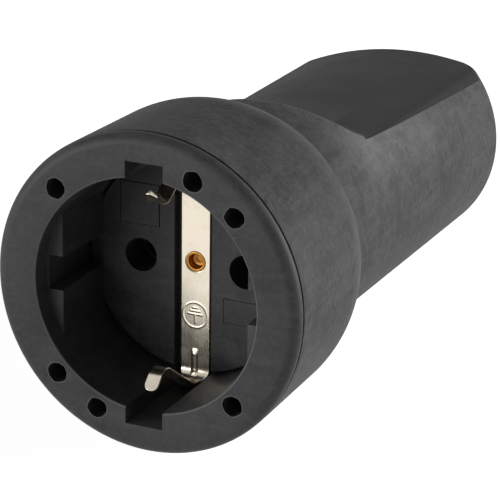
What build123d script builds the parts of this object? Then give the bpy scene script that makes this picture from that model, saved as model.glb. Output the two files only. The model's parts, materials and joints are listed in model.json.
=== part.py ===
from build123d import *
import math
import os

# Rubber cable socket, rewirable, with two round live contacts and two spring earth clips.
# Units are millimetres. The pieces are built in the product's own frame: the origin is the
# centre of the ring's face, +X is right seen from the front, +Y runs into the handle, +Z is up.
# At the end the whole is laid down until its shoulder and its tail rest on the ground at z = 0.

# Pin pattern of the standard
pin_spacing = 19.0
pin_dia = 4.8
pin_length = 19.0
pin_hole_dia = 5.8
recess_depth = 17.5

# Clearances
slide_gap = 0.2
pin_end_gap = 0.7
pin_grip_gap = 0.05
rubber_gap = 0.15
rivet_gap = 0.05
end_gap = 0.3

# Front cup: flange, recess, cheeks and notches
ring_width = 7.26
rim_round = 1.96
flange_t = 1.8
seam_bevel = 0.15
cup_length = 22.0
bead_height = 0.6
bead_width = 2.4
bead_y = 12.0
mouth_r = 19.6
mouth_bevel = 0.35
floor_r = 19.3
cheek_x = 16.5
cheek_front_y = 3.6
slot_wide = 6.0
slot_narrow = 5.0
slot_r = 19.05
notch_width = 6.64
notch_wall = 2.6
blind_dia = 3.5
blind_depth = 6.0
blind_angles = (45.0, 67.5, 135.0, 225.0, 247.5, 315.0)

# Recess floor with its flange, and the contact carrier behind it
plate_r = 18.9
plate_bevel = 0.3
floor_flange_t = 2.5
core_r = 15.5
core_end_y = 44.0
channel_half = 3.4
earth_floor_t = 3.0
pad_height = 0.2
square_pad = (-9.7, 8.9, 7.0)
long_pad = (10.0, -7.2, 8.6, 4.0)

# Earth strap with its two spring clips
strap_t = 0.8
strap_width = 5.4
strap_face_y = 18.4
tongue_width = 2.6
bend_corner_z = 22.6
bend_r = 2.2
apex = (5.4, 13.75)
apex_r = 3.2
tip = (2.1, 16.9)
tip_round = 0.9
shoulder_z = 18.9
shoulder_top_z = 20.6
shoulder_bulge = 0.75
rib_width = 1.2
rib_height = 0.3
rib_z = (15.2, 18.4)

# Hollow rivet and its washer
rivet_bore_r = 1.15
rivet_wall = 0.3
rivet_head_r = 1.6
rivet_head_t = 0.35
rivet_tail_r = 1.95
rivet_tail_t = 0.3
rivet_seat_r = 1.9
rivet_seat_depth = 0.4
washer_r = 3.0
washer_t = 0.5

# Live contacts, terminals and their screws
sleeve_r = 3.7
block_half = 4.1
wire_r = 1.7
wire_stop_t = 0.6
sleeve_end_t = 0.4
slit_width = 0.5
slit_length = 9.5
spring_t = 0.3
spring_width = 3.0
spring_inset = 1.2
spring_opening = 1.0
thread_r = 1.75
terminal_shank = 3.4
terminal_head_r = 2.6
terminal_head_t = 1.8
driver_slot = 0.8
driver_depth = 0.9
access_r = 2.9
earth_plate_t = 1.0
earth_block_z = -0.9
earth_chamber_z = 6.2

# Terminal cover, cord clamp and the small screws
cover_t = 2.0
wire_hole_r = 2.2
flat_screw_r = 1.25
flat_head_r = 2.2
floor_screw_length = 10.5
cover_screw_at = (7.5, -10.2)
cover_screw_floor = 2.2
clamp_width = 19.6
clamp_length = 6.5
clamp_y = 50.5
base_bottom_z = -7.5
base_plate_t = 2.6
base_end_y = 58.0
cord_r = 4.2
bar_top_z = 5.6
bar_chamfer = 1.5
clamp_screw_r = 1.5
clamp_screw_x = 7.1
clamp_head_r = 2.4
clamp_head_t = 1.6
nut_flats = 5.5
nut_t = 2.4

# Rubber housing
head_draft = 0.51
head_wall = 1.4
head_back_y = 22.0
shoulder_r = 17.7
neck_y = 34.5
handle_front_r = 21.25
handle_front_y = 40.0
tail_r = 21.05
tail_y = 102.5
tail_round = 1.0
flat_edge_round = 1.2
ramp_foot_round = 8.0
tail_lip_depth = 2.0
inlet_r = 5.25
inlet_front_y = 72.0
clamp_room_r = 12.9
clamp_room_y = (49.5, 62.0)
crown_r = 50.0
crown_turn = 6.7
flat_start_y = 51.3
flat_start_z = 15.2
flat_end_z = 15.25
ramp_top_y = 42.7
ramp_top_z = 21.2

# Derived places
pin_x = pin_spacing / 2
plate_y = recess_depth
floor_back_y = cup_length + floor_flange_t
flange_r = mouth_r + ring_width
head_back_r = flange_r - head_draft
cup_r = head_back_r - head_wall - rubber_gap
rim_r = flange_r - rim_round
rim_depth = flange_t - seam_bevel
notch_r = cup_r - notch_wall
blind_circle_r = (mouth_r + cup_r) / 2
floor_screw_x = (slot_r + cup_r) / 2
strap_back_y = strap_face_y + strap_t
earth_floor_y = strap_back_y + earth_floor_t
sleeve_y = floor_back_y + end_gap
spring_y = sleeve_y + spring_inset
block_y = plate_y + pin_length + pin_end_gap
screw_y = (block_y + core_end_y) / 2
cover_back_y = core_end_y + cover_t
cover_screw_length = cover_back_y - plate_y - cover_screw_floor
pocket_half = block_half + slide_gap


def turned(*corners):
    """Solid of revolution about the Y axis from (radius, y) corners."""
    return revolve(make_face(Polyline(*corners, close=True)), Axis.Y)


def rod(radius, y0, y1, x=0.0, z=0.0):
    """Cylinder along Y."""
    return extrude(Plane((x, y0, z), z_dir=(0, 1, 0)) * Circle(radius), y1 - y0)


def post(radius, z0, z1, x=0.0, y=0.0):
    """Cylinder along Z."""
    return Pos(x, y, (z0 + z1) / 2) * Cylinder(radius, z1 - z0)


def block(x0, x1, y0, y1, z0, z1):
    """Box between two corners."""
    return Pos((x0 + x1) / 2, (y0 + y1) / 2, (z0 + z1) / 2) * Box(x1 - x0, y1 - y0, z1 - z0)


def both_sides(piece, plane=Plane.YZ):
    """A piece and its mirror image as one shape."""
    return piece + mirror(piece, plane)


def socket_cup():
    """Flange, recess wall with its cheeks, slots and notches, and the retaining bead."""
    halfway = math.sqrt(0.5)
    middle = (rim_r + rim_round * halfway, rim_depth * (1 - halfway))
    edge = ThreePointArc((rim_r, 0), middle, (flange_r, rim_depth))
    outer = Polyline(
        (flange_r, rim_depth),
        (flange_r - seam_bevel, flange_t),
        (cup_r, flange_t),
        (cup_r, bead_y - bead_width / 2),
        (cup_r + bead_height, bead_y),
        (cup_r, bead_y + bead_width / 2),
        (cup_r, cup_length),
        (floor_r, cup_length),
        (floor_r, recess_depth),
        (mouth_r, mouth_bevel),
        (mouth_r + mouth_bevel, 0),
        (rim_r, 0),
    )
    cup = revolve(make_face([edge, outer]), Axis.Y)
    cheek = rod(floor_r + 1, cheek_front_y, recess_depth) & block(
        cheek_x, flange_r, cheek_front_y, recess_depth, -flange_r, flange_r
    )
    slot = Plane.YZ * make_face(Polyline(
        (cheek_front_y - 1, -slot_wide / 2),
        (recess_depth, -slot_narrow / 2),
        (recess_depth, slot_narrow / 2),
        (cheek_front_y - 1, slot_wide / 2),
        close=True,
    ))
    cheek -= extrude(slot, slot_r)
    cup += both_sides(cheek)
    cup -= both_sides(block(
        -notch_width / 2, notch_width / 2, -1, cup_length, mouth_r - 2, notch_r
    ), Plane.XY)
    for angle in blind_angles:
        x = blind_circle_r * math.cos(math.radians(angle))
        z = blind_circle_r * math.sin(math.radians(angle))
        cup -= rod(blind_dia / 2, -1, blind_depth, x, z)
    cup -= both_sides(floor_screw(floor_screw_x))
    return cup


def flat_screw(x, z, head_y, length):
    """Countersunk slotted screw along Y, its head's face at head_y, its tip towards the front."""
    cone = flat_head_r - flat_screw_r
    body = revolve(make_face(Polyline(
        (0, head_y),
        (flat_head_r, head_y),
        (flat_screw_r, head_y - cone),
        (flat_screw_r, head_y - length + flat_screw_r / 2),
        (flat_screw_r / 2, head_y - length),
        (0, head_y - length),
        close=True,
    )), Axis.Y)
    body -= block(-flange_r, flange_r, head_y - driver_depth, head_y, -driver_slot / 2, driver_slot / 2)
    return Pos(x, 0, z) * body


def flat_screw_hole(x, z, head_y, length):
    """Room for a countersunk screw in the piece that it holds."""
    cone = flat_head_r - flat_screw_r
    hole = turned(
        (0, head_y),
        (flat_head_r, head_y),
        (flat_screw_r, head_y - cone),
        (flat_screw_r, head_y - length),
        (0, head_y - length),
    )
    return Pos(x, 0, z) * hole


def floor_screw(x):
    """Screw that holds the floor's flange to the cup."""
    return flat_screw(x, 0, floor_back_y, floor_screw_length)


def terminal_pocket(x, z, front_y):
    """Square pocket for a terminal block with the hole for its screwdriver above."""
    pocket = block(x - pocket_half, x + pocket_half, front_y, core_end_y, z - pocket_half, z + pocket_half)
    return pocket + post(access_r, z, core_r + 1, x, screw_y)


def earth_room(y0, y1):
    """Room for the earth terminal between two depths."""
    return block(-pocket_half, pocket_half, y0, y1, -earth_chamber_z, earth_chamber_z)


def cover_screw_holes():
    """Holes for the two long screws through cover and carrier into the floor."""
    return both_sides(flat_screw_hole(*cover_screw_at, cover_back_y, cover_screw_length))


def recess_floor():
    """Floor of the recess with the strap's channel, the pin holes and the flange behind the cup."""
    floor = turned(
        (0, plate_y),
        (plate_r - plate_bevel, plate_y),
        (plate_r, plate_y + plate_bevel),
        (plate_r, cup_length),
        (cup_r, cup_length),
        (cup_r, floor_back_y),
        (0, floor_back_y),
    )
    floor += floor_pads()
    floor -= block(-channel_half, channel_half, plate_y - 1, strap_back_y, -flange_r, flange_r)
    floor -= both_sides(rod(pin_hole_dia / 2, plate_y - 1, floor_back_y + 1, pin_x))
    floor -= rod(rivet_bore_r + rivet_wall + slide_gap, strap_back_y - 1, earth_floor_y + 1)
    floor -= earth_room(earth_floor_y, floor_back_y + 1)
    floor -= both_sides(flat_screw_hole(floor_screw_x, 0, floor_back_y, floor_screw_length))
    return floor - cover_screw_holes()


def contact_carrier():
    """Core behind the floor with the rooms of the contact sleeves and the terminal chambers."""
    carrier = rod(core_r, floor_back_y, core_end_y)
    live = rod(sleeve_r + spring_t + slide_gap, floor_back_y - 1, block_y, pin_x)
    carrier -= both_sides(live + terminal_pocket(pin_x, 0, block_y))
    carrier -= earth_room(floor_back_y - 1, core_end_y + 1)
    carrier -= post(access_r, 0, core_r + 1, 0, screw_y)
    return carrier - cover_screw_holes()


def floor_pads():
    """Two plain raised pads on the floor beside the pin holes."""
    x, z, side = square_pad
    pads = block(x - side / 2, x + side / 2, plate_y - pad_height, plate_y, z - side / 2, z + side / 2)
    x, z, width, height = long_pad
    pads += block(
        x - width / 2, x + width / 2, plate_y - pad_height, plate_y, z - height / 2, z + height / 2
    )
    return pads


def strap_half():
    """Upper half of the strap: flat part, bend, spring clip and its turned-out lip."""
    centre_y = strap_face_y + strap_t / 2
    path = Polyline((centre_y, 0), (centre_y, bend_corner_z), apex, tip)
    for corner, radius in (((centre_y, bend_corner_z), bend_r), (apex, apex_r)):
        path = fillet(path.vertices().sort_by_distance((*corner, 0))[0], radius)
    strip = extrude(Plane.YZ * trace(path, strap_t), strap_width / 2, both=True)
    beside = block(tongue_width / 2, strap_width, 0, strap_face_y - bend_r, 0, flange_r)
    half = strap_width / 2
    shoulder = Plane.XZ * make_face([
        ThreePointArc(
            (half, shoulder_z),
            (half - (half - tongue_width / 2) / 4, shoulder_z + shoulder_bulge),
            (tongue_width / 2, shoulder_top_z),
        ),
        Polyline(
            (tongue_width / 2, shoulder_top_z),
            (tongue_width / 2, flange_r),
            (half + 1, flange_r),
            (half + 1, shoulder_z),
            (half, shoulder_z),
        ),
    ])
    beside += extrude(shoulder, -strap_back_y - 1)
    rib = block(-rib_width / 2, rib_width / 2, strap_face_y - rib_height, strap_face_y, *rib_z)
    strip -= both_sides(beside)
    tip_edges = strip.edges().filter_by(lambda e: abs(e.length - strap_t) < strap_t / 100)
    strip = fillet(tip_edges.sort_by(Axis.Y)[:2], tip_round)
    return strip + rib


def earth_strap():
    """One bent strip with a spring clip at each end and the rivet's seat in the middle."""
    strap = both_sides(strap_half(), Plane.XY)
    strap -= rod(rivet_bore_r + rivet_wall + rivet_gap, strap_face_y - 1, strap_back_y + 1)
    strap -= rod(rivet_seat_r, strap_face_y - 1, strap_face_y + rivet_seat_depth)
    return strap


def centre_rivet():
    """Hollow rivet: its head seated in the strap, its tail turned over on the washer."""
    outer_r = rivet_bore_r + rivet_wall
    head_y = strap_face_y + rivet_seat_depth
    tail_face_y = earth_floor_y + earth_plate_t + washer_t
    return turned(
        (rivet_bore_r, head_y - rivet_head_t / 2),
        (rivet_bore_r + rivet_wall / 2, head_y - rivet_head_t),
        (rivet_head_r, head_y - rivet_head_t / 2),
        (rivet_head_r, head_y),
        (outer_r, head_y),
        (outer_r, tail_face_y),
        (rivet_tail_r, tail_face_y),
        (rivet_tail_r, tail_face_y + rivet_tail_t),
        (rivet_bore_r, tail_face_y + rivet_tail_t),
    )


def earth_washer():
    """Washer between the earth terminal's plate and the rivet's tail."""
    washer = rod(washer_r, earth_floor_y + earth_plate_t, earth_floor_y + earth_plate_t + washer_t)
    return washer - rod(rivet_bore_r + rivet_wall, earth_floor_y, earth_floor_y + 3)


def terminal_block(x, z, front_y):
    """Brass block with the wire's hole from behind and the screw's thread from above."""
    body = block(x - block_half, x + block_half, front_y, core_end_y, z - block_half, z + block_half)
    body -= rod(wire_r, front_y + wire_stop_t, core_end_y + 1, x, z)
    return body - post(thread_r, z, z + block_half + 1, x, screw_y)


def live_contact():
    """Right-hand contact: slit sleeve for the pin and its terminal block in one piece."""
    contact = rod(sleeve_r, sleeve_y, block_y, pin_x) + terminal_block(pin_x, 0, block_y)
    contact -= rod(pin_dia / 2 + pin_grip_gap, sleeve_y - 1, block_y - sleeve_end_t, pin_x)
    slit_end = sleeve_y + slit_length
    reach = sleeve_r + 1
    contact -= block(
        pin_x - slit_width / 2, pin_x + slit_width / 2, sleeve_y - 1, slit_end, -reach, reach
    )
    contact -= block(
        pin_x - reach, pin_x + reach, sleeve_y - 1, slit_end, -slit_width / 2, slit_width / 2
    )
    return contact


def contact_spring():
    """Right-hand open steel ring that holds the slit sleeve together."""
    ring = rod(sleeve_r + spring_t, spring_y, spring_y + spring_width, pin_x)
    ring -= rod(sleeve_r, spring_y - 1, spring_y + spring_width + 1, pin_x)
    return ring - block(
        pin_x - spring_opening / 2,
        pin_x + spring_opening / 2,
        spring_y - 1,
        spring_y + spring_width + 1,
        0,
        flange_r,
    )


def earth_terminal():
    """Brass plate under the rivet, an arm to the rear and the earth's terminal block."""
    plate = block(
        -block_half, block_half, earth_floor_y, earth_floor_y + earth_plate_t,
        earth_block_z - block_half - earth_plate_t, earth_chamber_z - slide_gap,
    )
    plate -= rod(rivet_bore_r + rivet_wall, earth_floor_y - 1, earth_floor_y + 3)
    arm = block(
        -block_half, block_half, earth_floor_y, core_end_y,
        earth_block_z - block_half - earth_plate_t, earth_block_z - block_half,
    )
    return plate + arm + terminal_block(0, earth_block_z, block_y)


def terminal_screws():
    """Three cheese-head screws, one for each core of the cord."""
    screws = []
    for x, z in ((-pin_x, 0), (0, earth_block_z), (pin_x, 0)):
        seat = z + block_half
        screw = post(thread_r, seat - terminal_shank + wire_r, seat, x, screw_y)
        screw += post(terminal_head_r, seat, seat + terminal_head_t, x, screw_y)
        top = seat + terminal_head_t
        screw -= block(
            x - terminal_head_r - 1, x + terminal_head_r + 1,
            screw_y - driver_slot / 2, screw_y + driver_slot / 2, top - driver_depth, top + 1,
        )
        screws.append(screw)
    return screws


def terminal_cover():
    """Disc behind the terminal chambers with the lower half of the cord clamp."""
    cover = rod(core_r - slide_gap, core_end_y, cover_back_y)
    half = clamp_width / 2
    base = block(-half, half, cover_back_y, base_end_y, base_bottom_z, base_bottom_z + base_plate_t)
    base += block(-half, half, clamp_y, clamp_y + clamp_length, base_bottom_z, 0)
    base -= rod(cord_r, clamp_y - 1, base_end_y + 1)
    screw = post(clamp_screw_r, base_bottom_z - 1, 1, clamp_screw_x, clamp_y + clamp_length / 2)
    screw += clamp_nut_body()
    cover += base - both_sides(screw)
    for x, z in ((-pin_x, 0), (0, earth_block_z), (pin_x, 0)):
        cover -= rod(wire_hole_r, core_end_y - 1, cover_back_y + 1, x, z)
    return cover - cover_screw_holes()


def cord_clamp_bar():
    """Upper half of the cord clamp."""
    half = clamp_width / 2
    bar = block(-half, half, clamp_y, clamp_y + clamp_length, 0, bar_top_z)
    bar = chamfer(bar.edges().filter_by(Axis.Y).group_by(Axis.Z)[-1], bar_chamfer)
    bar -= rod(cord_r, clamp_y - 1, clamp_y + clamp_length + 1)
    hole = post(clamp_screw_r, -1, bar_top_z + 1, clamp_screw_x, clamp_y + clamp_length / 2)
    return bar - both_sides(hole)


def clamp_nut_body():
    """Hexagon of the right-hand clamp nut in the base's underside."""
    y = clamp_y + clamp_length / 2
    hexagon = Rot(0, 0, 30) * RegularPolygon(nut_flats / 2, 6, major_radius=False)
    return Pos(clamp_screw_x, y, base_bottom_z) * extrude(hexagon, nut_t)


def clamp_nut():
    """Right-hand nut of the cord clamp."""
    y = clamp_y + clamp_length / 2
    return clamp_nut_body() - post(clamp_screw_r, base_bottom_z - 1, 0, clamp_screw_x, y)


def clamp_screw():
    """Right-hand screw of the cord clamp."""
    y = clamp_y + clamp_length / 2
    top = bar_top_z + clamp_head_t
    screw = post(clamp_screw_r, base_bottom_z, bar_top_z, clamp_screw_x, y)
    screw += post(clamp_head_r, bar_top_z, top, clamp_screw_x, y)
    return screw - block(
        clamp_screw_x - clamp_head_r - 1, clamp_screw_x + clamp_head_r + 1,
        y - driver_slot / 2, y + driver_slot / 2, top - driver_depth, top + 1,
    )


def housing_outside():
    """Head with its draft and round shoulder, neck and handle."""
    turn = math.degrees(math.asin((neck_y - head_back_y) / shoulder_r))
    shoulder = CenterArc((head_back_r - shoulder_r, head_back_y), shoulder_r, 0, turn)
    profile = make_face([
        Polyline(
            (0, flange_t),
            (flange_r - seam_bevel, flange_t),
            (flange_r, flange_t + seam_bevel),
            (head_back_r, head_back_y),
        ),
        shoulder,
        Polyline(
            shoulder @ 1,
            (handle_front_r, handle_front_y),
            (tail_r, tail_y),
            (0, tail_y),
            (0, flange_t),
        ),
    ])
    return revolve(profile, Axis.Y)


def handle_flat():
    """Space above the crowned flat and its ramp."""
    reach = flange_r
    beyond = 5.0
    start = Plane((0, flat_start_y, flat_start_z), x_dir=(1, 0, 0), z_dir=(0, -1, 0))
    sag = crown_r - math.sqrt(crown_r ** 2 - reach ** 2)
    section = start * make_face([
        ThreePointArc((-reach, -sag), (0, 0), (reach, -sag)),
        Polyline((reach, -sag), (reach, reach), (-reach, reach), (-reach, -sag)),
    ])
    flat_way = Vector(0, tail_y - flat_start_y, flat_end_z - flat_start_z)
    ramp_way = Vector(0, ramp_top_y - flat_start_y, ramp_top_z - flat_start_z)
    space = extrude(section, flat_way.length + beyond, dir=flat_way.normalized())
    space += extrude(section, ramp_way.length + beyond, dir=ramp_way.normalized())
    return Rot(0, -crown_turn, 0) * space


def rubber_housing():
    """One rubber moulding: head, neck, handle and the cable inlet."""
    bore = turned(
        (0, flange_t - 1),
        (cup_r + rubber_gap, flange_t - 1),
        (cup_r + rubber_gap, bead_y - bead_width / 2 - rubber_gap),
        (cup_r + bead_height + rubber_gap, bead_y),
        (cup_r + rubber_gap, bead_y + bead_width / 2 + rubber_gap),
        (cup_r + rubber_gap, floor_back_y + rubber_gap),
        (core_r + rubber_gap, floor_back_y + rubber_gap),
        (core_r + rubber_gap, cover_back_y + end_gap),
        (clamp_room_r, clamp_room_y[0]),
        (clamp_room_r, clamp_room_y[1]),
        (inlet_r, inlet_front_y),
        (inlet_r, tail_y - tail_lip_depth),
        (inlet_r + tail_lip_depth / 2, tail_y + tail_lip_depth / 2),
        (0, tail_y + tail_lip_depth / 2),
    )
    body = housing_outside() - handle_flat()
    foot = body.edges().filter_by(GeomType.CIRCLE).sort_by_distance((0, flat_start_y, flat_start_z))[0]
    body = fillet(foot, ramp_foot_round)
    sides = body.edges().filter_by(GeomType.BSPLINE).filter_by(lambda e: e.center().Y < tail_y - tail_round)
    body = fillet(sides, flat_edge_round)
    body = fillet(body.faces().sort_by(Axis.Y)[-1].edges(), tail_round)
    return body - bore


def pieces():
    """Every piece by its name, in the product's own frame."""
    return {
        "rubber_housing": rubber_housing(),
        "socket_cup": socket_cup(),
        "recess_floor": recess_floor(),
        "floor_screws": [floor_screw(-floor_screw_x), floor_screw(floor_screw_x)],
        "contact_carrier": contact_carrier(),
        "earth_strap": earth_strap(),
        "centre_rivet": centre_rivet(),
        "earth_washer": earth_washer(),
        "earth_terminal": earth_terminal(),
        "contact_left": mirror(live_contact(), Plane.YZ),
        "contact_right": live_contact(),
        "contact_spring_left": mirror(contact_spring(), Plane.YZ),
        "contact_spring_right": contact_spring(),
        "terminal_screws": terminal_screws(),
        "terminal_cover": terminal_cover(),
        "cover_screws": [
            flat_screw(side * cover_screw_at[0], cover_screw_at[1], cover_back_y, cover_screw_length)
            for side in (-1, 1)
        ],
        "cord_clamp_bar": cord_clamp_bar(),
        "clamp_screws": [mirror(clamp_screw(), Plane.YZ), clamp_screw()],
        "clamp_nuts": [mirror(clamp_nut(), Plane.YZ), clamp_nut()],
    }


def droop_angle():
    """Angle of the tangent from the shoulder's curve to the tail's rounded rim."""
    along = tail_y - tail_round - head_back_y
    out = (tail_r - tail_round) - (head_back_r - shoulder_r)
    return math.asin((shoulder_r - tail_round) / math.hypot(along, out)) - math.atan2(out, along)


def rest_place(housing, cup):
    """Where the product's frame lies once head and tail rest on the ground, centred above it."""
    droop = Rot(-math.degrees(droop_angle()), 0, 0)
    box = Compound(children=[droop * housing, droop * cup]).bounding_box()
    return Pos(0, -(box.min.Y + box.max.Y) / 2, -box.min.Z) * droop


def lay_down(shapes):
    """Each piece in its place on the ground, its solids kept apart."""
    rest = rest_place(shapes["rubber_housing"], shapes["socket_cup"])
    laid = {}
    for name, shape in shapes.items():
        solids = shape if isinstance(shape, list) else [shape]
        laid[name] = Compound(children=[rest * solid for piece in solids for solid in piece.solids()])
    return laid


def main():
    os.makedirs("parts", exist_ok=True)
    for name, shape in lay_down(pieces()).items():
        shape.label = name
        export_step(shape, f"parts/{name}.step")


if __name__ == "__main__":
    main()
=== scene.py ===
"""Rubber cable socket: an earthed socket on a rubber handle, with its floor, light and camera.

Sizes are metres. Each piece is modelled in the product's own frame (origin in the centre of the
ring's face, +Y into the handle, +Z up) and then laid on the floor by rest_place()."""
import json
import math
from functools import partial

import bmesh
import bpy
import numpy as np
from bpy.props import FloatProperty, FloatVectorProperty, IntProperty
from mathutils import Matrix, Vector


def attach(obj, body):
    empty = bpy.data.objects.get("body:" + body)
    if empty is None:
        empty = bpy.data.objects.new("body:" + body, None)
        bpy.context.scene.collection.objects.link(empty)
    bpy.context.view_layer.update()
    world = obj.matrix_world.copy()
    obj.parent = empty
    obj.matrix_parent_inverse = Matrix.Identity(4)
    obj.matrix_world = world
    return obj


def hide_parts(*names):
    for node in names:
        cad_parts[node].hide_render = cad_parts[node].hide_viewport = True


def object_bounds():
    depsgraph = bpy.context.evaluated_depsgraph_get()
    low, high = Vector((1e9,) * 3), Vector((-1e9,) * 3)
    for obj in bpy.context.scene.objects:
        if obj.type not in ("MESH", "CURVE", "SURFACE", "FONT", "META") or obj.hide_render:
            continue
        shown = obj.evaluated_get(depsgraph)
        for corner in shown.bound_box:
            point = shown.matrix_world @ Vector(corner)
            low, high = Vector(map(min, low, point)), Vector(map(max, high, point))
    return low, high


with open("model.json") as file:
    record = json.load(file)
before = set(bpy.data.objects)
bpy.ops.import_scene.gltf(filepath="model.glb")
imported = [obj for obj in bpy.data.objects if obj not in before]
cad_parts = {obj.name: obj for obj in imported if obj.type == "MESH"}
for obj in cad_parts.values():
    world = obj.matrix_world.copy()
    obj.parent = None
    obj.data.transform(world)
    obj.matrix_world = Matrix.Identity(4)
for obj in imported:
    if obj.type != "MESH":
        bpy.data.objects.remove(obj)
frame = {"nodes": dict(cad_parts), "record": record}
cad_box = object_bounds()

bl_info = {
    "name": "Rubber cable socket",
    "version": (1, 0, 0),
    "blender": (4, 5, 0),
    "location": "3D View > Sidebar > Socket",
    "description": "Builds an earthed rubber cable socket piece by piece",
    "category": "Object",
}

MM = 0.001
# How far the cutting tools reach past what they cut
SPARE = 1 * MM


def length(name, description, millimetres):
    """A length property with its default in millimetres."""
    return FloatProperty(
        name=name, description=description, default=millimetres * MM, min=0.0,
        unit="LENGTH", subtype="DISTANCE", precision=5,
    )


def colour(name, description, value):
    """A colour property."""
    return FloatVectorProperty(
        name=name, description=description, default=value, size=3, min=0.0, max=1.0, subtype="COLOR",
    )


def power(name, description, watts):
    """A lamp's power property."""
    return FloatProperty(name=name, description=description, default=watts, min=0.0, unit="POWER")


def angle(name, description, degrees):
    """An angle property with its default in degrees."""
    return FloatProperty(
        name=name, description=description, default=math.radians(degrees),
        unit="ROTATION", subtype="ANGLE",
    )


def number(name, description, value):
    """A plain number property."""
    return FloatProperty(name=name, description=description, default=value)


class SocketHousing(bpy.types.PropertyGroup):
    """Sizes of the rubber housing"""
    front_radius: length("Front radius", "Head's radius at the ring", 26.86)
    front_start: length("Front start", "Where the housing meets the ring's flange", 1.8)
    groove_width: length("Groove width", "Width of the groove between ring and housing", 0.45)
    groove_depth: length("Groove depth", "Depth of the groove between ring and housing", 0.75)
    back_radius: length("Back radius", "Head's radius where its shoulder starts", 26.35)
    back_place: length("Back place", "Where the shoulder starts", 22.0)
    shoulder_radius: length("Shoulder radius", "Radius of the shoulder's curve", 17.7)
    neck_place: length("Neck place", "Where the shoulder meets the neck", 34.5)
    neck_round: length("Neck round", "Rounding in the corner of the neck", 0.5)
    handle_radius: length("Handle radius", "Handle's radius at its front", 21.25)
    handle_place: length("Handle place", "Where the handle's taper starts", 40.0)
    tail_radius: length("Tail radius", "Handle's radius at the tail", 21.05)
    tail_place: length("Tail place", "Handle's end face", 102.5)
    tail_round: length("Tail round", "Rounding of the tail's rim", 1.0)
    crown_radius: length("Flat cross curve", "Radius of the flat's crowned cross curve", 50.0)
    crown_turn: angle("Flat turn", "Turn of the flat about the handle", 6.7)
    flat_start: length("Flat start", "Where the ramp ends and the flat starts", 51.3)
    flat_start_height: length("Flat height", "Crest of the flat at its start", 15.2)
    flat_end_height: length("Flat end height", "Crest of the flat at the tail", 15.25)
    ramp_top: length("Ramp top", "Where the ramp leaves the handle", 42.7)
    ramp_top_height: length("Ramp top height", "Crest of the ramp at its top", 21.2)
    flat_fade: length("Flat fade", "Length over which the flat's finish turns smooth", 16.0)
    ramp_foot: length("Ramp foot", "Rounding between the ramp and the flat", 1.7)
    edge_round: length("Edge round", "Rounding of the flat's edges at its front", 0.35)
    edge_round_tail: length("Edge round at the tail", "Rounding of the flat's edges at the tail", 1.2)
    border_drop: angle("Border drop", "How far the flat's right border turns down towards the tail", 7.6)
    # Painted highlight beside the flat's borders: how far it reaches round the handle, towards the neck
    # and towards the tail
    border_highlight: angle("Border bloom", "How far pale bloom reaches round from the flat's borders", 20.0)
    highlight_front: length("Bloom in front", "How far that bloom reaches to the neck", 9.0)
    highlight_behind: length("Bloom behind", "How far that bloom reaches to the tail", 24.0)
    inlet_radius: length("Inlet radius", "Radius of the cord inlet", 5.25)
    inlet_start: length("Inlet start", "Inner end of the cord inlet", 72.0)
    inlet_lip: length("Inlet lip", "Width of the countersink round the inlet", 1.0)
    inlet_lip_depth: length("Inlet lip depth", "Depth of the countersink round the inlet", 2.0)
    room_radius: length("Room radius", "Radius of the room for the cord clamp", 12.9)
    room_start: length("Room start", "Front end of the room for the cord clamp", 49.5)
    room_end: length("Room end", "Rear end of the room for the cord clamp", 62.0)
    core_radius: length("Core bore radius", "Radius of the bore for the core", 15.65)
    core_end: length("Core bore end", "Rear end of the bore for the core", 46.3)
    bore_radius: length("Bore radius", "Radius of the bore for the cup", 24.95)
    bore_end: length("Bore end", "Rear end of the bore for the cup", 24.65)
    around: IntProperty(name="Steps around", description="Facets round the housing", default=364, min=48)


class SocketCup(bpy.types.PropertyGroup):
    """Sizes of the front cup and of its flash"""
    flange_radius: length("Flange radius", "Ring's outer radius", 26.86)
    face_radius: length("Face radius", "Radius where the ring's flat face ends", 24.9)
    rim_depth: length("Rim depth", "Depth of the ring's rounded rim", 1.65)
    flange_thickness: length("Flange thickness", "Thickness of the ring's flange", 1.8)
    cup_radius: length("Cup radius", "Outer radius of the cup behind the flange", 24.8)
    cup_length: length("Cup length", "Rear end of the cup", 22.0)
    bead_height: length("Bead height", "Height of the retaining bead", 0.6)
    bead_width: length("Bead width", "Width of the retaining bead", 2.4)
    bead_place: length("Bead place", "Middle of the retaining bead", 12.0)
    mouth_radius: length("Mouth radius", "Recess radius at its mouth", 19.6)
    mouth_round: length("Mouth round", "Rounding of the recess's mouth", 0.35)
    floor_radius: length("Floor radius", "Recess radius at its floor", 19.3)
    recess_depth: length("Recess depth", "Depth of the recess", 17.5)
    cheek_place: length("Cheek place", "Distance of each cheek from the middle", 16.5)
    cheek_front: length("Cheek front", "Ledge of each cheek", 3.6)
    slot_wide: length("Slot width in front", "Width of the slot in each cheek at its mouth", 5.85)
    slot_narrow: length("Slot width behind", "Width of the slot in each cheek at the floor", 5.0)
    slot_reach: length("Slot reach", "Distance of each slot's bottom from the middle", 19.05)
    notch_width: length("Notch width", "Width of the notches", 6.64)
    notch_reach: length("Notch reach", "Distance of each notch's bottom from the middle", 22.2)
    blind_radius: length("Blind hole radius", "Radius of the small blind holes", 1.75)
    blind_depth: length("Blind hole depth", "Depth of the small blind holes", 6.0)
    blind_circle: length("Blind hole circle", "Radius of the circle of blind holes", 22.2)
    flash_width: length("Flash width", "Thickness of the thin flash round the holes", 0.12)
    flash_sink: number("Flash sink", "Depth of the flash's middle in widths", 0.62)
    flash_ragged: number("Flash ragged", "Unevenness of the flash", 0.34)
    flash_seed: IntProperty(name="Flash seed", description="Seed of the flash's turns", default=4)
    edge_round: length("Edge round", "Rounding of the moulding's edges", 0.16)


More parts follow.
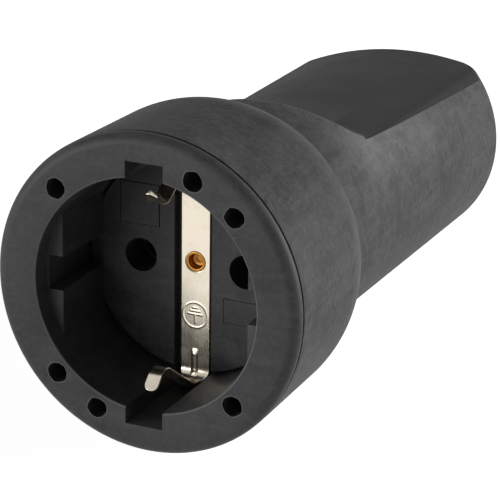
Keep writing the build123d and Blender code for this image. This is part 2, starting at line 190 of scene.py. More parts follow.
class SocketFloor(bpy.types.PropertyGroup):
    """Sizes of the recess's floor"""
    plate_radius: length("Plate radius", "Radius of the recess's floor plate", 18.9)
    plate_edge: length("Plate edge", "Rounding of the floor plate's rim", 0.3)
    flange_thickness: length("Flange thickness", "Thickness of the flange behind the cup", 2.5)
    channel_width: length("Channel width", "Width of the strap's channel", 6.8)
    channel_floor: length("Channel floor", "Bottom of the strap's channel", 19.2)
    pin_spacing: length("Pin spacing", "Distance between the pin holes", 19.0)
    pin_radius: length("Pin hole radius", "Radius of the pin holes", 2.9)
    pin_lip: length("Pin hole lip", "Radius of the pin holes' inner lip, in front of the contacts", 2.5)
    pin_lip_depth: length("Pin hole lip depth", "Thickness of the pin holes' inner lip", 0.5)
    rivet_hole: length("Rivet hole", "Radius of the hole for the rivet", 1.65)
    earth_floor: length("Earth floor", "Front of the earth terminal's room", 22.2)
    earth_half: length("Earth half height", "Half the height of the earth terminal's room", 6.2)
    earth_half_width: length("Earth half width", "Half the width of the earth terminal's room", 4.3)
    pad_height: length("Pad height", "Height of the plain pads on the floor", 0.12)
    pad_moat: length("Pad moat", "Width and depth of the narrow moat round each pad", 0.15)
    edge_round: length("Edge round", "Rounding of the floor's edges", 0.1)


class SocketStrap(bpy.types.PropertyGroup):
    """Sizes of the earth strap"""
    thickness: length("Thickness", "Thickness of the strip", 0.8)
    width: length("Width", "Width of the strip", 5.4)
    face: length("Face", "Place of the strip's front face", 18.4)
    tongue_width: length("Tongue width", "Width of the spring clips", 2.6)
    bend_height: length("Bend height", "Corner of the bend before it is rounded", 22.6)
    bend_radius: length("Bend radius", "Radius of the bend", 2.2)
    apex_place: length("Apex place", "Depth of the clip's apex before it is rounded", 5.4)
    apex_height: length("Apex height", "Height of the clip's apex before it is rounded", 13.75)
    apex_radius: length("Apex radius", "Radius of the clip's apex", 3.2)
    tip_place: length("Tip place", "Depth of the clip's tip", 2.1)
    tip_height: length("Tip height", "Height of the clip's tip", 16.9)
    shoulder_start: length("Shoulder start", "Length along the strip where it starts to narrow", 19.3)
    shoulder_end: length("Shoulder end", "Length along the strip where it has narrowed", 22.4)
    rib_width: length("Rib width", "Width of the pressed rib", 1.2)
    rib_height: length("Rib height", "Height of the pressed rib", 0.3)
    rib_start: length("Rib start", "Where the pressed rib starts", 15.2)
    rib_end: length("Rib end", "Where the pressed rib ends", 20.4)
    hole_radius: length("Hole radius", "Radius of the rivet's hole", 1.5)
    seat_radius: length("Rivet seat radius", "Radius of the rivet's seat", 1.9)
    seat_depth: length("Rivet seat depth", "Depth of the rivet's seat", 0.4)
    sign_radius: length("Sign radius", "Radius of the ring round the earth sign", 2.2)
    sign_height: length("Sign height", "Height of the earth sign below the middle", 9.3)
    sign_line: length("Sign line", "Line width of the earth sign", 0.22)
    sign_depth: length("Sign depth", "How far the earth sign stands out", 0.05)


class SocketRivet(bpy.types.PropertyGroup):
    """Sizes of the hollow rivet"""
    bore_radius: length("Bore radius", "Radius of the rivet's bore", 1.22)
    wall: length("Wall", "Wall of the rivet's tube", 0.3)
    bore_depth: length("Bore depth", "Depth of the rivet's bore in front of its web", 1.6)
    web: length("Web", "Thickness of the web that closes the rivet's bore", 0.3)
    head_radius: length("Head radius", "Radius of the rivet's rolled head", 1.75)
    head_thickness: length("Head thickness", "Thickness of the rivet's rolled head", 0.35)
    tail_radius: length("Tail radius", "Radius of the rivet's turned tail", 1.95)
    tail_thickness: length("Tail thickness", "Thickness of the rivet's turned tail", 0.3)
    tail_face: length("Tail face", "Where the rivet's tail meets its washer", 23.7)


class SocketFinish(bpy.types.PropertyGroup):
    """Colours of the finishes"""
    rubber: colour("Rubber", "Housing's rubber", (0.015, 0.015, 0.016))
    rubber_bloom: colour("Rubber bloom", "Pale bloom on the rubber", (0.106, 0.106, 0.107))
    # Painted highlight: pale tone on the side beside the flat, where the light catches the rubber
    rubber_highlight: colour("Worn rubber", "Palest bloom, beside the flat", (0.185, 0.185, 0.186))
    flat_tone: colour("Flat", "Smooth rubber of the handle's flat", (0.032, 0.032, 0.033))
    # Painted shade: darker tone where the flat leans to the right, towards the light
    flat_lean_shade: colour("Flat's edge", "Rubber where the flat leans to the right", (0.012, 0.012, 0.012))
    moulding: colour("Moulding", "Ring, recess and floor", (0.014, 0.014, 0.015))
    moulding_bloom: colour("Moulding bloom", "Pale bloom on the moulding", (0.070, 0.070, 0.071))
    # Pale edges: wear and a painted highlight on the moulding's rounded edges
    moulding_edge_wear_and_highlight: colour("Moulding edge", "Pale worn edge of the moulding", (0.115, 0.115, 0.115))
    inner: colour("Inner moulding", "Terminal cover and cord clamp", (0.075, 0.075, 0.078))
    nickel: colour("Nickel", "Plating of the earth strap", (0.74, 0.67, 0.55))
    brass: colour("Brass", "Rivet and contacts", (0.46, 0.225, 0.055))
    zinc: colour("Zinc", "Screws, springs and washer", (0.60, 0.60, 0.61))
    floor: colour("Floor", "Studio floor", (0.86, 0.86, 0.86))


class SocketStage(bpy.types.PropertyGroup):
    """Camera, lights and backdrop"""
    eye: FloatVectorProperty(
        name="Eye", description="Camera's place in the product's frame", size=3,
        subtype="XYZ", unit="LENGTH", default=(0.192553, -0.372180, 0.158449),
    )
    aim: FloatVectorProperty(
        name="Aim", description="Point in the product's frame that the camera looks at", size=3,
        subtype="XYZ", unit="LENGTH", default=(0.014023, 0.009429, 0.007239),
    )
    roll: angle("Roll", "Camera's turn about its line of sight", -0.728)
    lens: FloatProperty(name="Lens", description="Focal length", default=204.07, unit="CAMERA")
    reach: length("Reach", "Distance of the lights", 900.0)
    left_power: power("Left light", "Power of the light in front, left", 3.7)
    front_power: power("Front light", "Power of the light in front", 1.5)
    right_power: power("Right light", "Power of the light on the right", 6.2)
    back_power: power("Back light", "Power of the light behind, right", 2.7)
    sky: number("Sky", "Strength of the even light from all around", 0.016)
    shine: number("Shine", "White of the surroundings in reflections", 0.8)
    glow: number("Glow", "White that the camera sees on the floor near the socket", 0.86)


def settings(name):
    """One of the scene's property groups."""
    return getattr(bpy.context.scene, name)


# Placing

def droop_angle():
    """Angle of the tangent from the shoulder's curve to the tail's rounded rim."""
    h = settings("socket_housing")
    along = h.tail_place - h.tail_round - h.back_place
    out = (h.tail_radius - h.tail_round) - (h.back_radius - h.shoulder_radius)
    return math.asin((h.shoulder_radius - h.tail_round) / math.hypot(along, out)) - math.atan2(out, along)


def rest_place():
    """Matrix that lays the product's frame on the floor, shoulder and tail down, in the CAD box."""
    h = settings("socket_housing")
    droop = droop_angle()
    arc_radius = h.back_radius - h.shoulder_radius
    lift = h.back_place * math.sin(droop) + arc_radius * math.cos(droop) + h.shoulder_radius
    y = cad_box[0][1] + settings("socket_cup").face_radius * math.sin(droop)
    return Matrix.Translation((0.0, y, lift)) @ Matrix.Rotation(-droop, 4, "X")


def finish_piece(obj, material, sharp, replaces=()):
    """Shades a piece, sharp past an angle in degrees, lays it on the floor and ties it to the frame."""
    obj.data.shade_smooth()
    obj.data.set_sharp_from_angle(angle=math.radians(sharp))
    obj.data.transform(rest_place())
    obj.data.update()
    obj.data.materials.clear()
    obj.data.materials.append(material_for(material))
    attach(obj, "root")
    if replaces:
        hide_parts(*replaces)
    return {"FINISHED"}


# Mesh helpers

def new_object(name, data):
    """Links a mesh, a lamp or a camera to the scene as a new object."""
    obj = bpy.data.objects.new(name, data)
    bpy.context.scene.collection.objects.link(obj)
    return obj


def grid_mesh(name, points, wrap_rows=False, wrap_columns=True, masks=None):
    """Mesh of a grid of points, rows by columns, that may close in either direction, with masks."""
    rows, columns = points.shape[:2]
    index = np.arange(rows * columns).reshape(rows, columns)
    row_steps = rows if wrap_rows else rows - 1
    column_steps = columns if wrap_columns else columns - 1
    here = index[:row_steps, :column_steps]
    right = np.roll(index, -1, 1)[:row_steps, :column_steps]
    below = np.roll(index, -1, 0)[:row_steps, :column_steps]
    both = np.roll(np.roll(index, -1, 0), -1, 1)[:row_steps, :column_steps]
    faces = np.stack([here, right, both, below], -1).reshape(-1, 4)
    mesh = bpy.data.meshes.new(name)
    mesh.from_pydata(points.reshape(-1, 3).tolist(), [], faces.tolist())
    for mask, values in (masks or {}).items():
        attribute = mesh.attributes.new(mask, "FLOAT", "POINT")
        attribute.data.foreach_set("value", values.astype(np.float32).ravel())
    outward(mesh)
    return mesh


def outward(mesh):
    """Merges doubles and turns every face outwards."""
    bm = bmesh.new()
    bm.from_mesh(mesh)
    bmesh.ops.remove_doubles(bm, verts=bm.verts, dist=1e-6)
    bmesh.ops.recalc_face_normals(bm, faces=bm.faces)
    bm.to_mesh(mesh)
    bm.free()


def turned_mesh(name, profile, around):
    """Closed solid of revolution about the Y axis from a closed profile of (radius, y)."""
    profile = np.array(profile)
    angles = np.linspace(0.0, 2 * math.pi, around, endpoint=False)
    points = np.stack([
        profile[:, None, 0] * np.cos(angles),
        np.broadcast_to(profile[:, None, 1], (len(profile), around)),
        profile[:, None, 0] * np.sin(angles),
    ], -1)
    return grid_mesh(name, points, wrap_rows=True)


def rounded(corners, steps=6):
    """Closed profile from its corners, each (radius, y) or (radius, y, rounding)."""
    points = []
    for i, (*corner, radius) in enumerate((*corner, 0.0)[:3] for corner in corners):
        here = Vector(corner)
        before = Vector(corners[i - 1][:2]) - here
        after = Vector(corners[(i + 1) % len(corners)][:2]) - here
        if radius <= 0.0 or before.length < 1e-9 or after.length < 1e-9:
            points.append(tuple(here))
            continue
        half = before.angle(after) / 2
        reach = min(radius / math.tan(half), before.length * 0.45, after.length * 0.45)
        bulge = reach * math.tan(half)
        middle = here + (before.normalized() + after.normalized()).normalized() * (bulge / math.sin(half))
        start = here + before.normalized() * reach - middle
        end = here + after.normalized() * reach - middle
        sweep = start.angle_signed(end)
        for k in range(steps + 1):
            turn = Matrix.Rotation(-sweep * k / steps, 2)
            points.append(tuple(middle + turn @ start))
    return points


def divided(a, b, step):
    """Points from a up to b, without b, no further apart than the step."""
    a, b = np.array(a), np.array(b)
    pieces = max(1, math.ceil(np.linalg.norm(b - a) / step))
    return [a + (b - a) * k / pieces for k in range(pieces)]


def refined(profile, step):
    """Closed profile with extra points, so that no stretch is longer than step(its middle) asks."""
    profile = np.array(profile)
    ends = zip(profile, np.roll(profile, -1, 0))
    return [point for a, b in ends for point in divided(a, b, step((a + b) / 2))]


def prism_mesh(front, back):
    """Closed mesh between two outlines with the same number of points."""
    count = len(front)
    nexts = [(k, (k + 1) % count) for k in range(count)]
    faces = [range(count), range(count, 2 * count)] + [(k, n, count + n, count + k) for k, n in nexts]
    mesh = bpy.data.meshes.new("prism")
    mesh.from_pydata([*front, *back], [], faces)
    outward(mesh)
    return mesh


def box_mesh(low, high):
    """Plain box between two corners."""
    mesh = bpy.data.meshes.new("cut")
    bm = bmesh.new()
    bmesh.ops.create_cube(bm, size=1.0)
    size = Vector(high) - Vector(low)
    centre = (Vector(high) + Vector(low)) / 2
    bmesh.ops.scale(bm, vec=size, verts=bm.verts)
    bmesh.ops.translate(bm, vec=centre, verts=bm.verts)
    bm.to_mesh(mesh)
    bm.free()
    return mesh


def rod_mesh(radius, y0, y1, x=0.0, z=0.0, around=64):
    """Cylinder along Y."""
    profile = [(0.0, y0), (radius, y0), (radius, y1), (0.0, y1)]
    mesh = turned_mesh("cut", profile, around)
    mesh.transform(Matrix.Translation((x, 0.0, z)))
    return mesh


def cut(obj, meshes, operation="DIFFERENCE"):
    """Cuts meshes out of an object, or joins them to it, one after another."""
    for mesh in meshes:
        tool = new_object("tool", mesh)
        modifier = obj.modifiers.new("cut", "BOOLEAN")
        modifier.operation = operation
        modifier.solver = "EXACT"
        modifier.object = tool
        apply_modifiers(obj)
        bpy.data.objects.remove(tool)
        bpy.data.meshes.remove(mesh)


def apply_modifiers(obj):
    """Turns an object's modifiers into plain mesh."""
    graph = bpy.context.evaluated_depsgraph_get()
    graph.update()
    done = bpy.data.meshes.new_from_object(obj.evaluated_get(graph))
    old = obj.data
    obj.modifiers.clear()
    obj.data = done
    bpy.data.meshes.remove(old)


def soften(obj, width, segments=3):
    """Rounds the sharp edges of a cut solid."""
    modifier = obj.modifiers.new("edges", "BEVEL")
    modifier.width = width
    modifier.segments = segments
    modifier.limit_method = "ANGLE"
    modifier.angle_limit = math.radians(32)
    modifier.use_clamp_overlap = True
    modifier.miter_outer = "MITER_ARC"
    apply_modifiers(obj)


# Node helpers

# The mix node's colour inputs and colour output
MIX_FIRST, MIX_SECOND, MIX_RESULT = 6, 7, 2


def empty_tree(owner):
    """Emptied node tree of a material or a world."""
    owner.use_nodes = True
    owner.node_tree.nodes.clear()
    return owner.node_tree


def new_node(tree, kind, inputs=None, **values):
    """Outputs of a new node, with its inputs linked to other outputs or set to values."""
    node = tree.nodes.new(kind)
    for name, value in values.items():
        setattr(node, name, value)
    for name, value in (inputs or {}).items():
        if isinstance(value, bpy.types.NodeSocket):
            tree.links.new(value, node.inputs[name])
        else:
            node.inputs[name].default_value = value
    return node.outputs


def new_material(name):
    """Material, its emptied node tree and its Object coordinates."""
    material = bpy.data.materials.new(name)
    tree = empty_tree(material)
    return material, tree, new_node(tree, "ShaderNodeTexCoord")["Object"]


def noise(tree, place, scale, detail=4.0, roughness=0.5, stretch=None, distortion=0.0):
    """Noise on Object coordinates, its scale in 1/m, stretched on the way when asked."""
    if stretch is not None:
        place = new_node(tree, "ShaderNodeMapping", {"Vector": place, "Scale": stretch})["Vector"]
    return new_node(tree, "ShaderNodeTexNoise", {
        "Vector": place, "Scale": scale, "Detail": detail, "Roughness": roughness,
        "Distortion": distortion,
    })["Fac"]


def ramp(tree, value, low, high, to_low=0.0, to_high=1.0):
    """Value mapped from one range to another, and clamped."""
    return new_node(tree, "ShaderNodeMapRange", {
        "Value": value, "From Min": low, "From Max": high, "To Min": to_low, "To Max": to_high,
    })["Result"]


def blend(tree, factor, first, second):
    """Colour between two colours or colour outputs."""
    first, second = (c if isinstance(c, bpy.types.NodeSocket) else (*c, 1.0) for c in (first, second))
    inputs = {"Factor": factor, MIX_FIRST: first, MIX_SECOND: second}
    return new_node(tree, "ShaderNodeMix", inputs, data_type="RGBA")[MIX_RESULT]


def combine(tree, operation, first, second):
    """Arithmetic on two values or outputs."""
    return new_node(tree, "ShaderNodeMath", {0: first, 1: second}, operation=operation)["Value"]


def mask_value(tree, name):
    """Value of one of the mesh's own masks."""
    return new_node(tree, "ShaderNodeAttribute", attribute_name=name)["Fac"]


def shade(tree, tone, roughness, layers, specular=0.5, metallic=0.0):
    """Gives a material its shader, with chained bump layers, each (height, metres, strength)."""
    inputs = {
        "Base Color": tone, "Roughness": roughness, "Specular IOR Level": specular, "Metallic": metallic,
    }
    for height, distance, strength in layers:
        levels = {"Height": height, "Distance": distance, "Strength": strength}
        if "Normal" in inputs:
            levels["Normal"] = inputs["Normal"]
        inputs["Normal"] = new_node(tree, "ShaderNodeBump", levels)["Normal"]
    shader = new_node(tree, "ShaderNodeBsdfPrincipled", inputs)["BSDF"]
    new_node(tree, "ShaderNodeOutputMaterial", {"Surface": shader})


# Materials

# Curved scratches as (noise scale, stretch, contour level)
SCRATCHES = ((34.0, (1.0, 1.0, 1.6), 0.46), (52.0, (1.7, 1.0, 0.8), 0.52))
# Each metal's colour property, share of it, share of each channel left in its dull stains,
# roughness range, stretch of its drawn lines and scale of its stains
METALS = {
    "strap_nickel": ("nickel", 1.0, (0.82, 0.82, 0.82), (0.18, 0.36), (6.0, 0.6, 0.6), 180.0),
    "bare_brass": ("brass", 1.0, (0.7, 0.58, 0.4), (0.24, 0.42), (2.0, 2.0, 2.0), 500.0),
    # Brass of the contacts and terminals, darkened: tarnish, and painted shade deep in the pin holes
    "tarnished_brass": ("brass", 0.32, (0.6, 0.55, 0.5), (0.38, 0.58), (2.0, 2.0, 2.0), 300.0),
    "zinc_steel": ("zinc", 1.0, (0.75, 0.75, 0.75), (0.28, 0.45), (2.0, 2.0, 2.0), 400.0),
}
SLOT_MATERIALS = {
    "rubber": "housing_rubber", "moulding": "dark_moulding", "inner_moulding": "inner_moulding",
    # Contacts and terminals take the darkened brass: tarnish and painted shade
    "nickel": "strap_nickel", "steel": "zinc_steel", "brass": "tarnished_brass",
}


def rubber_material(name):
    """Moulded rubber: cloudy bloom, fine grain and light scuffs, smoother and darker on the flat, with
    painted shade where the flat leans to the right and a painted highlight beside the flat.
    """
    f = settings("socket_finish")
    material, tree, place = new_material(name)
    flat, lean, painted_highlight = (mask_value(tree, mask) for mask in ("flat", "lean", "bloom"))
    bloom = combine(tree, "ADD", blotches(tree, place, 70.0, 260.0, 1100.0), scratches(tree, place))
    side = blend(tree, bloom, f.rubber, f.rubber_bloom)
    # Painted highlight beside the flat's borders, mottled like the bloom
    painted_highlight = combine(tree, "MULTIPLY", painted_highlight, ramp(tree, bloom, 0.1, 0.8, 0.35, 1.0))
    side = blend(tree, painted_highlight, side, f.rubber_highlight)
    calm = blend(tree, combine(tree, "MULTIPLY", bloom, 0.14), f.flat_tone, f.rubber_bloom)
    # Painted shade: the flat turns darker where it leans to the right, towards the light
    calm = blend(tree, combine(tree, "MULTIPLY", lean, 0.9), calm, f.flat_lean_shade)
    layers = (
        (noise(tree, place, 120.0, 4.0, 0.55), 0.00045, 0.5),
        (noise(tree, place, 700.0, 3.0, 0.6), 0.00018, 0.7),
        (noise(tree, place, 2300.0, 3.0, 0.6), 0.00010, 0.8),
        (scratches(tree, place), 0.00006, 0.5),
    )
    rough = ramp(tree, flat, 0.0, 1.0, 1.0, 0.10)
    layers = [(combine(tree, "MULTIPLY", height, rough), d, s) for height, d, s in layers]
    shade(tree, blend(tree, flat, side, calm), ramp(tree, bloom, 0.0, 1.0, 0.54, 0.72), layers, 0.12)
    return material


def blotches(tree, place, large, small, fine):
    """Uneven bloom from 0 to about 1: clouds, patches, streaks and pale specks, less dark stains."""
    clouds = ramp(tree, noise(tree, place, large, 4.0, 0.6, distortion=0.6), 0.36, 0.64)
    patches = ramp(tree, noise(tree, place, small, 5.0, 0.65), 0.34, 0.66)
    specks = ramp(tree, noise(tree, place, fine, 4.0, 0.75), 0.40, 0.70)
    drawn = noise(tree, place, small, 4.0, 0.6, stretch=(0.35, 0.35, 2.4), distortion=0.5)
    streaks = ramp(tree, drawn, 0.40, 0.66)
    slow = noise(tree, place, 0.7 * small, 3.0, 0.6, stretch=(1.0, 1.0, 0.6))
    stains = ramp(tree, slow, 0.58, 0.66, 0.0, 0.45)
    value = combine(tree, "MULTIPLY", clouds, 0.26)
    for layer, share in ((patches, 0.24), (streaks, 0.22), (specks, 0.36)):
        value = combine(tree, "ADD", value, combine(tree, "MULTIPLY", layer, share))
    return combine(tree, "MULTIPLY", value, combine(tree, "SUBTRACT", 1.0, stains))


def scratches(tree, place):
    """Thin curved scratches, here and there: contour lines of slow noise."""
    lines = 0.0
    for scale, stretch, level in SCRATCHES:
        slow = noise(tree, place, scale, 1.5, 0.4, stretch=stretch, distortion=0.7)
        away = combine(tree, "ABSOLUTE", combine(tree, "SUBTRACT", slow, level), 0.0)
        lines = combine(tree, "MAXIMUM", lines, ramp(tree, away, 0.0016, 0.0046, 1.0, 0.0))
    where = ramp(tree, noise(tree, place, 90.0, 3.0, 0.6), 0.52, 0.60)
    return combine(tree, "MULTIPLY", combine(tree, "MULTIPLY", lines, where), 0.3)


def moulding_material(name):
    """Moulded cup and floor: matt charcoal with soft clouds, fine grain and pale edges of wear and
    painted highlight.
    """
    f = settings("socket_finish")
    material, tree, place = new_material(name)
    bloom = combine(tree, "ADD", blotches(tree, place, 60.0, 230.0, 1200.0), scratches(tree, place))
    tone = blend(tree, bloom, f.moulding, f.moulding_bloom)
    # Pale edges: wear, and a painted highlight where light catches the rounded edges and the flash
    tone = blend(tree, mask_value(tree, "edge"), tone, f.moulding_edge_wear_and_highlight)
    layers = (
        (noise(tree, place, 140.0, 3.0, 0.5), 0.00025, 0.45),
        (noise(tree, place, 800.0, 3.0, 0.6), 0.00008, 0.4),
        (noise(tree, place, 2300.0, 3.0, 0.6), 0.00004, 0.45),
    )
    shade(tree, tone, ramp(tree, bloom, 0.0, 1.0, 0.48, 0.66), layers, 0.25)
    return material


def inner_material(name):
    """Grey moulding of the terminal cover and the cord clamp."""
    f = settings("socket_finish")
    material, tree, place = new_material(name)
    clouds = ramp(tree, noise(tree, place, 150.0), 0.35, 0.70)
    grain = noise(tree, place, 2000.0, 3.0)
    shade(tree, blend(tree, clouds, f.inner, f.moulding_bloom), 0.5, [(grain, 0.00004, 0.4)])
    return material


def metal_material(name):
    """One of the metals, with drawn lines, stains and small dents."""
    colour_name, share, left, (low, high), stretch, stain_scale = METALS[name]
    tint = [share * v for v in getattr(settings("socket_finish"), colour_name)]
    dull = [v * part for v, part in zip(tint, left)]
    material, tree, place = new_material(name)
    drawn = noise(tree, place, 900.0, 3.0, 0.6, stretch=stretch)
    stains = ramp(tree, noise(tree, place, stain_scale, 4.0, 0.6), 0.40, 0.70)
    roughness = ramp(tree, combine(tree, "ADD", drawn, stains), 0.3, 1.6, low, high)
    layers = [(noise(tree, place, 260.0, 2.0), 0.00012, 0.25), (drawn, 0.00003, 0.3)]
    shade(tree, blend(tree, stains, tint, dull), roughness, layers, metallic=1.0)
    return material


def material_for(name):
    """A material by its name, made once."""
    makers = {
        "housing_rubber": rubber_material, "dark_moulding": moulding_material,
        "inner_moulding": inner_material,
    }
    return bpy.data.materials.get(name) or makers.get(name, metal_material)(name)


# Housing

# Longest stretches of the housing's profile
INSIDE_STEP, RAMP_STEP, OUTSIDE_STEP = 3.0 * MM, 0.3 * MM, 0.8 * MM
# Shares of the columns below the flat's right border, on the flat and below its left border
COLUMN_SHARES = (0.36, 0.30, 0.34)
# How much the columns crowd towards the flat's borders, from 0 to 1
CROWDING = 0.85
# Share of the flat's smooth finish in the middle of its front end
FRONT_SMOOTHNESS = 0.62
# Angle from the crest where that finish starts to grow towards the border, and over which it does
BORDER_START, BORDER_FADE = math.radians(33), math.radians(5)
# Depth of cut over which the ramp takes on the flat's finish
RAMP_BLEND = 0.25 * MM
# Width of the end face round the inlet that never counts as ramp
END_FACE = 10 * MM


def soft_min(a, b, width):
    """Smaller of two values with the corner between them rounded."""
    gap = np.clip(0.5 + 0.5 * (b - a) / width, 0.0, 1.0)
    return b + (a - b) * gap - width * gap * (1 - gap)


def soft_max(a, b, width):
    """Larger of two values with the corner between them rounded."""
    return -soft_min(-a, -b, width)


def housing_profile(h, steps=24):
    """Closed profile of the housing as (radius, y), outside first, then the inlet and the bores."""
    sweep = math.asin((h.neck_place - h.back_place) / h.shoulder_radius)
    middle = h.back_radius - h.shoulder_radius
    turns = [sweep * k / steps for k in range(steps + 1)]
    shoulder = [
        (middle + h.shoulder_radius * math.cos(turn), h.back_place + h.shoulder_radius * math.sin(turn))
        for turn in turns
    ]
    groove = h.front_start + h.groove_width
    bottom = h.front_radius - h.groove_depth
    corners = [(h.bore_radius, h.front_start), (bottom, h.front_start), (bottom, groove)]
    corners += [(h.front_radius, groove, 0.15 * MM), *shoulder[:-2]]
    corners += [(shoulder[-1][0], h.neck_place, h.neck_round), (h.handle_radius, h.handle_place)]
    for place in (h.ramp_top, h.flat_start + h.ramp_foot):
        share = (place - h.handle_place) / (h.tail_place - h.handle_place)
        corners += [(h.handle_radius + (h.tail_radius - h.handle_radius) * share, place)]
    c = settings("socket_cup")
    half = c.bead_width / 2 + 0.15 * MM
    corners += [
        (h.tail_radius, h.tail_place, h.tail_round),
        (h.inlet_radius + h.inlet_lip, h.tail_place, 0.3 * MM),
        (h.inlet_radius, h.tail_place - h.inlet_lip_depth, 0.3 * MM),
        (h.inlet_radius, h.inlet_start),
        (h.room_radius, h.room_end),
        (h.room_radius, h.room_start),
        (h.core_radius, h.core_end),
        (h.core_radius, h.bore_end),
        (h.bore_radius, h.bore_end),
        (h.bore_radius, c.bead_place + half),
        (h.bore_radius + c.bead_height, c.bead_place),
        (h.bore_radius, c.bead_place - half),
    ]
    return rounded(corners)


def housing_step(h, place):
    """Longest stretch of the housing's profile at a place: fine on the ramp, coarse inside."""
    radius, y = place
    in_bore = h.front_start < y < h.bore_end and radius < h.bore_radius + 0.7 * MM
    if radius < h.core_radius or in_bore:
        return INSIDE_STEP
    return RAMP_STEP if h.ramp_top < y < h.flat_start + h.ramp_foot else OUTSIDE_STEP


def crest_height(h, y):
    """Height of the crowned cut above the axis along the handle."""
    flat_slope = (h.flat_end_height - h.flat_start_height) / (h.tail_place - h.flat_start)
    ramp_slope = (h.ramp_top_height - h.flat_start_height) / (h.ramp_top - h.flat_start)
    flat = h.flat_start_height + flat_slope * (y - h.flat_start)
    slope = h.flat_start_height + ramp_slope * (y - h.flat_start)
    return soft_max(flat, slope, h.ramp_foot)


def flat_borders(h, y):
    """Angles of the flat's right and left border along the handle, from +X towards +Z."""
    crest = h.flat_start_height - h.handle_radius ** 2 / (2 * h.crown_radius)
    rise = h.crown_radius * (1 - math.sqrt(1 - 2 * crest / h.crown_radius)) / h.handle_radius
    share = np.clip((y - h.flat_start) / (h.tail_place - h.flat_start), 0.0, 1.0)
    right = math.asin(rise) + h.crown_turn - h.border_drop * share ** 0.8
    return right, np.full_like(right, math.pi - math.asin(rise) + h.crown_turn)


def housing_angles(h, y):
    """Angles of the housing's columns in each row, with a column on each border of the flat."""
    right, left = flat_borders(h, y)
    start, end = -math.pi / 2, 1.5 * math.pi
    parts = []
    for low, high, share in zip((start, right, left), (right, left, end), COLUMN_SHARES):
        count = int(h.around * share)
        t = np.arange(count) / count
        t = t - CROWDING * np.sin(2 * math.pi * t) / (2 * math.pi)
        low, high = np.broadcast_to(low, y.shape), np.broadcast_to(high, y.shape)
        parts.append(low + (high - low) * t[None, :])
    return np.hstack(parts)


def flattened(h, radius, y, angles):
    """Radius of the outside where the crowned flat cuts it, and how much of it is the flat."""
    up = np.sin(angles - h.crown_turn)
    across = np.cos(angles - h.crown_turn)
    crest = crest_height(h, y)
    curve = np.maximum(across ** 2 / h.crown_radius, 1e-9)
    cut_radius = (-up + np.sqrt(up ** 2 + 2 * crest * curve)) / curve
    cut_radius = np.where(up > 0.05, cut_radius, 1.0)
    at_tail = y > h.tail_place - h.tail_round
    cut_radius = cut_radius - np.clip(h.tail_radius - radius, 0.0, h.tail_round) * at_tail
    share = np.clip((y - h.flat_start) / (h.tail_place - h.flat_start), 0.0, 1.0)
    width = h.edge_round + (h.edge_round_tail - h.edge_round) * share
    shaped = np.minimum(radius, soft_min(radius, cut_radius, width))
    right, left = flat_borders(h, y)
    inside = (angles > right + 1e-4) & (angles < left - 1e-4) & (y > h.flat_start)
    inside = inside & (y < h.tail_place - h.tail_round)
    on_ramp = np.clip((radius - cut_radius) / RAMP_BLEND, 0.0, 1.0) * (radius > h.inlet_radius + END_FACE)
    from_crest = np.abs(angles - h.crown_turn - math.pi / 2)
    at_border = np.clip((from_crest - BORDER_START) / BORDER_FADE, 0.0, 1.0)
    behind = np.clip((y - h.flat_start) / h.flat_fade, 0.0, 1.0)
    smoothness = FRONT_SMOOTHNESS + (1 - FRONT_SMOOTHNESS) * np.maximum(at_border, behind)
    return shaped, np.maximum(inside.astype(float), on_ramp) * smoothness


def highlight_beside_flat(h, y, angles):
    """Painted highlight on the round side beside the flat's borders, strongest near its front corners."""
    right, left = flat_borders(h, y)
    away = np.where(angles < math.pi / 2, right - angles, angles - left)
    along = y - h.flat_start - 2 * MM
    reach = np.where(along > 0, h.highlight_behind, h.highlight_front)
    return np.exp(-(np.maximum(away, 0.0) / h.border_highlight) ** 2) * np.exp(-(along / reach) ** 2)


def flat_lean(points):
    """How far the surface leans to the right at each point, from 0 to 1; it sets the painted shade on the
    flat.
    """
    along = np.roll(points, -1, 1) - np.roll(points, 1, 1)
    size = np.maximum(np.hypot(along[..., 0], along[..., 2]), 1e-9)
    return np.clip((along[..., 2] / size - 0.16) / 0.5, 0.0, 1.0)


class SOCKET_OT_housing(bpy.types.Operator):
    """Rubber housing: head, shoulder, neck, handle with its flat, and the cord inlet"""
    bl_idname = "socket.housing"
    bl_label = "Rubber housing"

    def execute(self, context):
        h = settings("socket_housing")
        profile = np.array(refined(housing_profile(h), lambda place: housing_step(h, place)))
        radius, y = profile[:, :1], profile[:, 1:]
        angles = housing_angles(h, y)
        outside = outside_rows(profile, h)[:, None]
        shaped, flat = flattened(h, radius, y, angles)
        shaped = np.where(outside, shaped, radius)
        points = np.stack([
            shaped * np.cos(angles), np.broadcast_to(y, shaped.shape), shaped * np.sin(angles)
        ], -1)
        masks = {
            "flat": np.where(outside, flat, 0.0),
            # Painted shade on the flat, growing as it leans to the right
            "lean": flat_lean(points) * flat,
            # Painted highlight beside the flat's borders
            "bloom": np.where(outside, highlight_beside_flat(h, y, angles), 0.0),
        }
        obj = new_object("housing", grid_mesh("housing", points, wrap_rows=True, masks=masks))
        return finish_piece(obj, "housing_rubber", 50, ["rubber_housing"])


def outside_rows(profile, h):
    """Which points of the closed profile lie on the outside, the end face included."""
    groove = h.front_start + h.groove_width
    lip = h.inlet_radius + h.inlet_lip
    start = int(np.argmin(np.hypot(profile[:, 0] - h.front_radius, profile[:, 1] - groove)))
    end = int(np.argmin(np.hypot(profile[:, 0] - lip, profile[:, 1] - h.tail_place)))
    rows = np.zeros(len(profile), bool)
    rows[start:end] = True
    return rows


# Front cup

# Degrees from +X towards +Z
BLIND_ANGLES = (45.0, 67.5, 135.0, 225.0, 247.5, 315.0)
# Pale edges, worn and with a painted highlight, are small faces no deeper than this, that lean this far
# towards the front
EDGE_DEPTH = 0.4 * MM
EDGE_FACING = (0.25, 0.985)
EDGE_AREA = 1.5 * MM * MM


